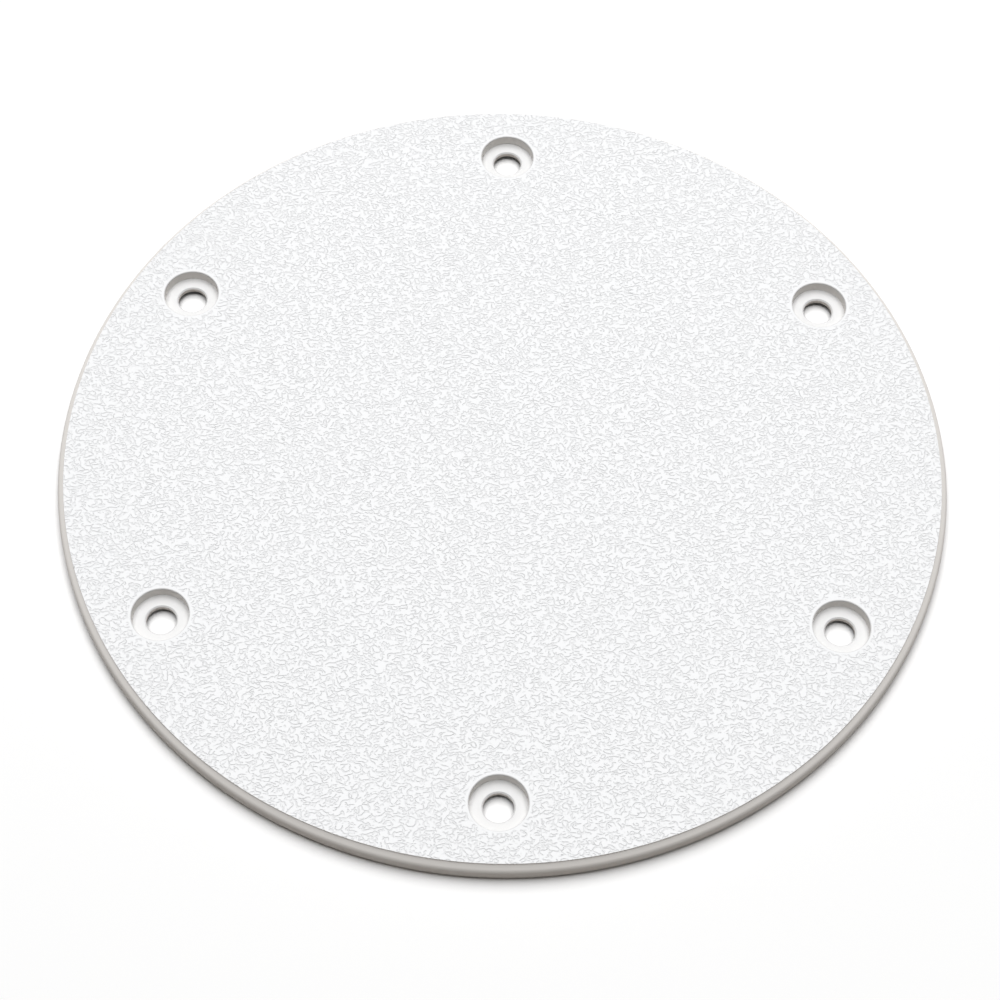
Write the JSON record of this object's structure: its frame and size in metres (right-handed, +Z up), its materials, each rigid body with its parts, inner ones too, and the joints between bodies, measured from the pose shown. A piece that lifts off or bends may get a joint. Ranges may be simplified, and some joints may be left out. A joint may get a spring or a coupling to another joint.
{
  "type": "deck inspection plate",
  "caption": "Flat round cover plate with a grained top, a bevelled rim and counterbored screw holes near its edge, for closing an access hole in a deck.",
  "frame": {"origin": "middle of the underside, which lies on the deck", "axes": "+Z up out of the deck along the plate's axis, +Y through the middle of one screw hole"},
  "size_m": [0.2, 0.2, 0.005],
  "materials": {
    "marine_board": "white polyethylene board, fine leather grain on the top face, smooth routed rim and holes"
  },
  "bodies": {
    "root": {"inspection_plate": "marine_board"}
  },
  "joints": []
}
